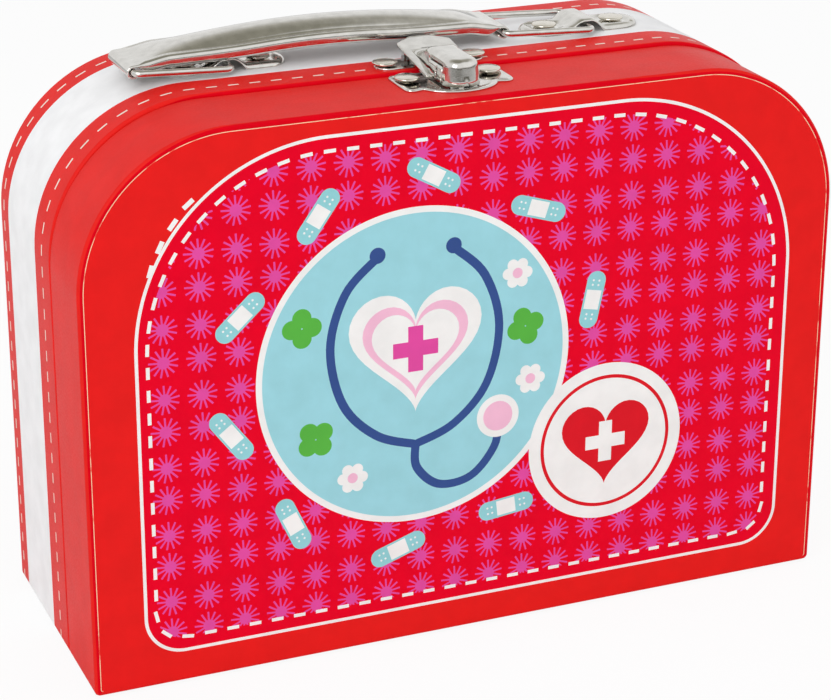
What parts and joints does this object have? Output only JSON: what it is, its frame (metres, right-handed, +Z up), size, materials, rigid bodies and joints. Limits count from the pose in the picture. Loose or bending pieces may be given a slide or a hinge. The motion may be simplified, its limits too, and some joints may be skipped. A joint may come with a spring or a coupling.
{
  "type": "toy doctor case",
  "caption": "Child's cardboard play suitcase with rounded top corners, paper-wrapped board halves on pin hinges, a press latch and a folding steel carrying grip.",
  "frame": {"origin": "middle of the case's footprint, on the plane of the hinge rivets that it stands on", "axes": "+X along the width to the right of the printed face, +Y from the printed face towards the back, +Z up to the handle"},
  "size_m": [0.25, 0.09, 0.1926],
  "materials": {
    "greyboard": "pressed grey board, raw",
    "red_paper": "printed and laminated wrapping paper, satin gloss",
    "print_paper": "printed and laminated face paper, satin gloss",
    "lining_paper": "uncoated lining paper, matt",
    "plated_steel": "nickel plated sheet and wire, bright",
    "zinc_steel": "zinc plated washers and pins"
  },
  "bodies": {
    "case_base": {"base_wall_board": "greyboard", "base_back_board": "greyboard", "base_wall_paper": "red_paper", "base_back_sheet": "red_paper", "base_wall_lining": "lining_paper", "base_back_lining": "lining_paper", "hinge_base_leaf_left": "plated_steel", "hinge_base_leaf_right": "plated_steel", "hinge_pin_left": "zinc_steel", "hinge_pin_right": "zinc_steel", "hinge_base_rivets": "plated_steel", "hinge_base_washers": "zinc_steel", "handle_bracket_left": "plated_steel", "handle_bracket_right": "plated_steel", "handle_rivets": "plated_steel", "handle_washers": "zinc_steel", "latch_base_plate": "plated_steel", "latch_pin": "zinc_steel", "latch_base_rivets": "plated_steel", "latch_base_washers": "zinc_steel"},
    "case_lid": {"lid_wall_board": "greyboard", "lid_front_board": "greyboard", "lid_wall_paper": "red_paper", "lid_front_sheet": "print_paper", "lid_wall_lining": "lining_paper", "lid_front_lining": "lining_paper", "hinge_lid_leaf_left": "plated_steel", "hinge_lid_leaf_right": "plated_steel", "hinge_lid_rivets": "plated_steel", "hinge_lid_washers": "zinc_steel", "latch_lid_plate": "plated_steel", "latch_lid_rivets": "plated_steel", "latch_lid_washers": "zinc_steel"},
    "lever": {"latch_lever": "plated_steel", "latch_clip": "plated_steel"},
    "left_ring": {"handle_ring_left": "plated_steel"},
    "right_ring": {"handle_ring_right": "plated_steel"},
    "grip": {"handle_grip": "plated_steel"}
  },
  "joints": [
    {"name": "lid_hinge", "type": "hinge", "parent": "case_base", "child": "case_lid", "pos_m": [0, -0.01465, 0.0012], "axis": [1, 0, 0], "range_deg": [0, 140]},
    {"name": "latch_press", "type": "hinge", "parent": "case_base", "child": "lever", "pos_m": [0, -0.008, 0.1816], "axis": [-1, 0, 0], "range_deg": [0, 20]},
    {"name": "left_ring_swing", "type": "hinge", "parent": "case_base", "child": "left_ring", "pos_m": [-0.0611, 0.0125, 0.1815], "axis": [0, 1, 0], "range_deg": [0, 174]},
    {"name": "right_ring_swing", "type": "hinge", "parent": "case_base", "child": "right_ring", "pos_m": [0.0611, 0.0125, 0.1815], "axis": [0, 1, 0], "range_deg": [0, 174]},
    {"name": "grip_swing", "type": "hinge", "parent": "left_ring", "child": "grip", "pos_m": [-0.09206, 0.0125, 0.18312], "axis": [0, 1, 0], "range_deg": [-174, 0]}
  ],
  "couplings": [
    {"joint": "right_ring_swing", "follows": "left_ring_swing", "ratio": 1},
    {"joint": "grip_swing", "follows": "left_ring_swing", "ratio": -1}
  ]
}
